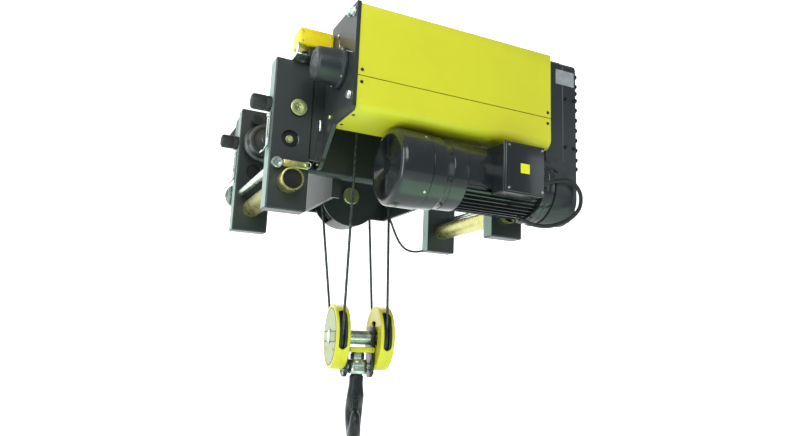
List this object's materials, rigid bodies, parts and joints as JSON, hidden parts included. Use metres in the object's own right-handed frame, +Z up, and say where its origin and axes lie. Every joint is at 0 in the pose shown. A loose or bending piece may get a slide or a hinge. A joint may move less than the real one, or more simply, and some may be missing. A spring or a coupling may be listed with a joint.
{
  "type": "electric wire rope hoist",
  "caption": "Low-headroom monorail trolley hoist: covered rope drum and finned motor beside the beam, cheek plates with flanged wheels, sheaves, wire rope and a twin-guard hook block.",
  "frame": {"origin": "on the runway beam's centre line, on top of its lower flange, midway between the left and right wheels", "axes": "+X along the rope drum towards the gearbox, +Y across the beam away from the drum, +Z up"},
  "size_m": [1.0875, 1.0785, 1.3448],
  "materials": {
    "cheek_paint": "satin dark grey paint",
    "gearbox_paint": "satin dark grey paint",
    "motor_paint": "semi-gloss black-grey paint",
    "black_paint": "satin black paint",
    "cover_yellow": "satin yellow powder coat",
    "switch_yellow": "smooth yellow plastic",
    "black_plastic": "fine texture",
    "yellow_zinc": "yellow passivated zinc",
    "bright_zinc": "bright zinc",
    "machined_steel": "turned steel",
    "buffer_rubber": "moulded",
    "forged_black": "forged, black",
    "rope_wire": "oiled steel wire"
  },
  "bodies": {
    "trolley_frame": {"near_left_cheek": "cheek_paint", "near_right_cheek": "cheek_paint", "far_left_cheek": "cheek_paint", "far_right_cheek": "cheek_paint", "left_cross_tube": "yellow_zinc", "right_cross_tube": "yellow_zinc", "left_tie_rod": "bright_zinc", "right_tie_rod": "bright_zinc", "locking_bar": "yellow_zinc", "travel_gearbox": "gearbox_paint", "travel_motor": "motor_paint", "near_left_buffer": "buffer_rubber", "near_right_buffer": "buffer_rubber", "far_left_buffer": "buffer_rubber", "far_right_buffer": "buffer_rubber", "near_frame_beam": "cheek_paint", "centre_frame": "cheek_paint", "top_sheave_guard": "cheek_paint", "top_sheave_pin": "yellow_zinc", "rope_anchor": "bright_zinc", "drum_end_plate": "cheek_paint", "drum_bearing_housing": "gearbox_paint", "guide_bar": "bright_zinc", "drum_cover": "cover_yellow", "limit_switch_box": "switch_yellow", "limit_switch_base": "black_plastic", "gearbox_housing": "gearbox_paint", "gearbox_cover": "gearbox_paint", "gearbox_foot": "gearbox_paint", "motor_housing": "motor_paint", "motor_fan_cover": "motor_paint", "terminal_box": "motor_paint", "terminal_box_lid": "motor_paint", "rope_from_drum": "rope_wire", "rope_left_far_fall": "rope_wire", "rope_right_far_fall": "rope_wire", "rope_to_anchor": "rope_wire", "rope_over_top_sheave": "rope_wire"},
    "hook_block": {"block_frame": "black_paint", "block_axle": "bright_zinc", "left_sheave_guard": "cover_yellow", "right_sheave_guard": "cover_yellow", "rope_under_left_sheave": "rope_wire", "rope_under_right_sheave": "rope_wire"},
    "drum": {"rope_drum": "machined_steel"},
    "guide": {"rope_guide": "black_paint"},
    "rotor": {"motor_rotor": "machined_steel"},
    "upper_sheave": {"top_sheave": "machined_steel"},
    "left_lower_sheave": {"left_block_sheave": "machined_steel"},
    "right_lower_sheave": {"right_block_sheave": "machined_steel"},
    "near_left_roller": {"near_left_wheel": "machined_steel"},
    "near_right_roller": {"near_right_wheel": "machined_steel"},
    "far_left_roller": {"far_left_wheel": "machined_steel"},
    "far_right_roller": {"far_right_wheel": "machined_steel"},
    "pinion": {"travel_pinion": "machined_steel"},
    "hook_crosshead": {"crosshead": "bright_zinc"},
    "lifting_hook": {"hook": "forged_black", "hook_nut": "bright_zinc"},
    "latch": {"hook_latch": "bright_zinc"}
  },
  "joints": [
    {"name": "hook_lift", "type": "slide", "parent": "trolley_frame", "child": "hook_block", "axis": [0, 0, 1], "range_m": [-5.7, 0.25], "deforming": ["rope_from_drum", "rope_left_far_fall", "rope_right_far_fall", "rope_to_anchor"]},
    {"name": "drum_spin", "type": "hinge", "parent": "trolley_frame", "child": "drum", "pos_m": [0, -0.402, 0.165], "axis": [1, 0, 0], "range_deg": [-14600, 700]},
    {"name": "guide_travel", "type": "slide", "parent": "trolley_frame", "child": "guide", "axis": [1, 0, 0], "range_m": [-0.03, 0.41]},
    {"name": "rotor_spin", "type": "hinge", "parent": "trolley_frame", "child": "rotor", "pos_m": [0, -0.42, -0.125], "axis": [1, 0, 0], "continuous": true},
    {"name": "upper_sheave_spin", "type": "hinge", "parent": "trolley_frame", "child": "upper_sheave", "pos_m": [-0.09, 0.065, -0.13], "axis": [0, 1, 0], "range_deg": [-400, 6950]},
    {"name": "left_lower_sheave_spin", "type": "hinge", "parent": "hook_block", "child": "left_lower_sheave", "pos_m": [-0.11474, 0.01093, -0.642], "axis": [0.9903, -0.1392, 0], "range_deg": [-550, 10400]},
    {"name": "right_lower_sheave_spin", "type": "hinge", "parent": "hook_block", "child": "right_lower_sheave", "pos_m": [0.04074, -0.01093, -0.642], "axis": [0.9903, -0.1392, 0], "range_deg": [-3500, 250]},
    {"name": "near_left_wheel_spin", "type": "hinge", "parent": "trolley_frame", "child": "near_left_roller", "pos_m": [-0.393, 0, 0.0625], "axis": [0, 1, 0], "continuous": true},
    {"name": "near_right_wheel_spin", "type": "hinge", "parent": "trolley_frame", "child": "near_right_roller", "pos_m": [0.393, 0, 0.0625], "axis": [0, 1, 0], "continuous": true},
    {"name": "far_left_wheel_spin", "type": "hinge", "parent": "trolley_frame", "child": "far_left_roller", "pos_m": [-0.393, 0, 0.0625], "axis": [0, 1, 0], "continuous": true},
    {"name": "far_right_wheel_spin", "type": "hinge", "parent": "trolley_frame", "child": "far_right_roller", "pos_m": [0.393, 0, 0.0625], "axis": [0, 1, 0], "continuous": true},
    {"name": "pinion_spin", "type": "hinge", "parent": "trolley_frame", "child": "pinion", "pos_m": [-0.42, 0, 0.1512], "axis": [0, 1, 0], "continuous": true},
    {"name": "crosshead_tilt", "type": "hinge", "parent": "hook_block", "child": "hook_crosshead", "pos_m": [-0.037, 0, -0.7435], "axis": [0.9903, -0.1392, 0], "range_deg": [-20, 20]},
    {"name": "hook_swivel", "type": "hinge", "parent": "hook_crosshead", "child": "lifting_hook", "pos_m": [-0.037, 0, -0.7435], "axis": [0, 0, 1], "continuous": true},
    {"name": "latch_hinge", "type": "hinge", "parent": "lifting_hook", "child": "latch", "pos_m": [-0.04595, -0.026, -0.846], "axis": [0.9455, -0.3256, 0], "range_deg": [0, 30], "stiffness_Nm_per_rad": 0.05, "springref_deg": -11.46}
  ],
  "couplings": [
    {"joint": "drum_spin", "follows": "hook_lift", "rad_per_m": 44.444},
    {"joint": "guide_travel", "follows": "hook_lift", "ratio": -0.0707},
    {"joint": "upper_sheave_spin", "follows": "hook_lift", "rad_per_m": -21.053},
    {"joint": "left_lower_sheave_spin", "follows": "hook_lift", "rad_per_m": -31.579},
    {"joint": "right_lower_sheave_spin", "follows": "hook_lift", "rad_per_m": 10.526},
    {"joint": "pinion_spin", "follows": "far_left_wheel_spin", "ratio": -3.6}
  ]
}
